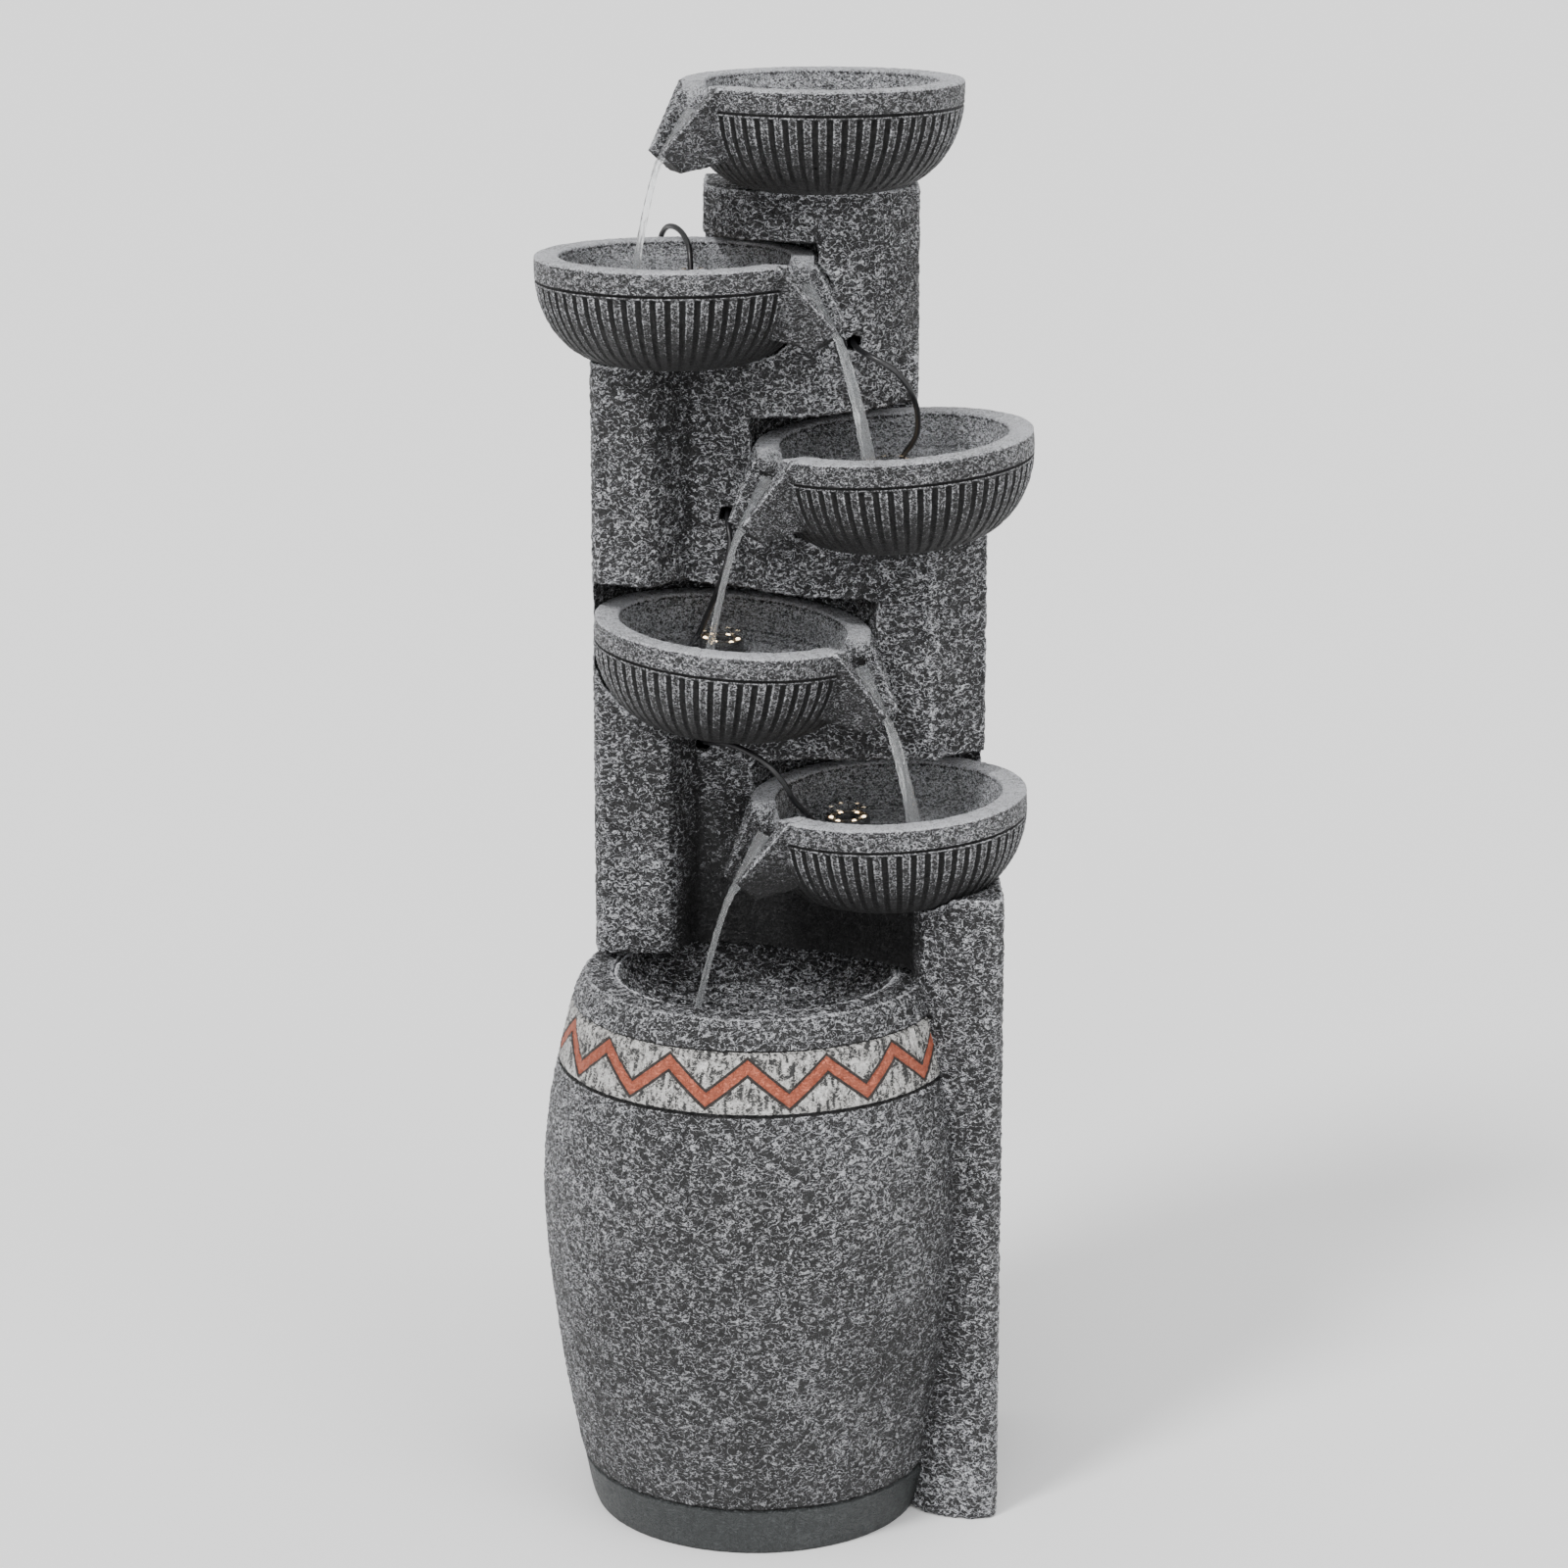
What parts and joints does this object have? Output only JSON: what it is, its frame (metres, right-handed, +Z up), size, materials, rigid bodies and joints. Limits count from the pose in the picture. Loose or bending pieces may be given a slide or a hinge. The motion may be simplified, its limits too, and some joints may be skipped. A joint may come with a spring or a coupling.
{
  "type": "cascading bowl garden fountain",
  "caption": "Floor-standing cascade fountain: fluted bowls with open spouts on a staggered hollow tower, over a barrel-shaped jar that holds water and pump.",
  "frame": {"origin": "centre of the bounding box's bottom face, on the ground", "axes": "+Z up, +Y towards the back of the fountain, +X to the right as seen from the front"},
  "size_m": [0.3405, 0.292, 1],
  "materials": {
    "tower_resin": "charcoal cast resin, hammered texture, white dry-brushed crests",
    "bowl_resin": "charcoal cast resin, pitted band and flutes, lightly dry-brushed",
    "jar_resin": "charcoal cast resin, wrinkled texture, pale band with a terracotta zigzag",
    "dish_resin": "charcoal cast resin, wet",
    "door_resin": "charcoal cast resin",
    "black_plastic": "moulded black plastic",
    "black_rubber": "soft black rubber",
    "black_foam": "open-cell foam",
    "lead_jacket": "black outdoor lead jacket",
    "led_lens": "clear potting over warm LEDs",
    "pump_ceramic": "ground ceramic",
    "ferrite": "bonded ferrite magnet",
    "stainless": "stainless steel",
    "vinyl": "clear vinyl tube"
  },
  "bodies": {
    "fountain_body": {"tower_shell": "tower_resin", "jar_shell": "jar_resin", "basin_dish": "dish_resin", "bowl_1": "bowl_resin", "bowl_2": "bowl_resin", "bowl_3": "bowl_resin", "bowl_4": "bowl_resin", "bowl_5": "bowl_resin", "led_ring_2": "black_plastic", "led_ring_3": "black_plastic", "led_ring_4": "black_plastic", "led_ring_5": "black_plastic", "led_lens_2": "led_lens", "led_lens_3": "led_lens", "led_lens_4": "led_lens", "led_lens_5": "led_lens", "led_lead_2": "lead_jacket", "led_lead_3": "lead_jacket", "led_lead_4": "lead_jacket", "led_lead_5": "lead_jacket", "led_junction": "black_plastic", "junction_bracket": "stainless", "pump_housing": "black_plastic", "pump_shaft": "pump_ceramic", "pump_volute_cover": "black_plastic", "suction_cup_1": "black_rubber", "suction_cup_2": "black_rubber", "suction_cup_3": "black_rubber", "suction_cup_4": "black_rubber", "riser_tube": "vinyl", "hose_clamp_lower": "stainless", "hose_clamp_upper": "stainless", "top_nozzle": "black_plastic", "nozzle_nut": "black_plastic", "cord_gland": "black_rubber"},
    "door": {"rear_door": "door_resin", "door_knob": "stainless", "door_seal": "black_foam"},
    "rotor": {"pump_rotor": "ferrite"},
    "dial": {"pump_flow_dial": "black_plastic"},
    "intake": {"pump_intake_cover": "black_plastic", "pump_filter_sponge": "black_foam"}
  },
  "joints": [
    {"name": "rear_door_slide", "type": "slide", "parent": "fountain_body", "child": "door", "axis": [0, 1, 0], "range_m": [0, 0.12]},
    {"name": "pump_rotor_spin", "type": "hinge", "parent": "fountain_body", "child": "rotor", "pos_m": [-0.0148, 0.0205, 0.04], "axis": [0, 1, 0], "continuous": true},
    {"name": "pump_flow_dial_turn", "type": "hinge", "parent": "fountain_body", "child": "dial", "pos_m": [-0.0148, 0.0045, 0.04], "axis": [0, 1, 0], "range_deg": [-40, 40]},
    {"name": "pump_cover_slide", "type": "slide", "parent": "fountain_body", "child": "intake", "axis": [0, -1, 0], "range_m": [0, 0.04]}
  ]
}
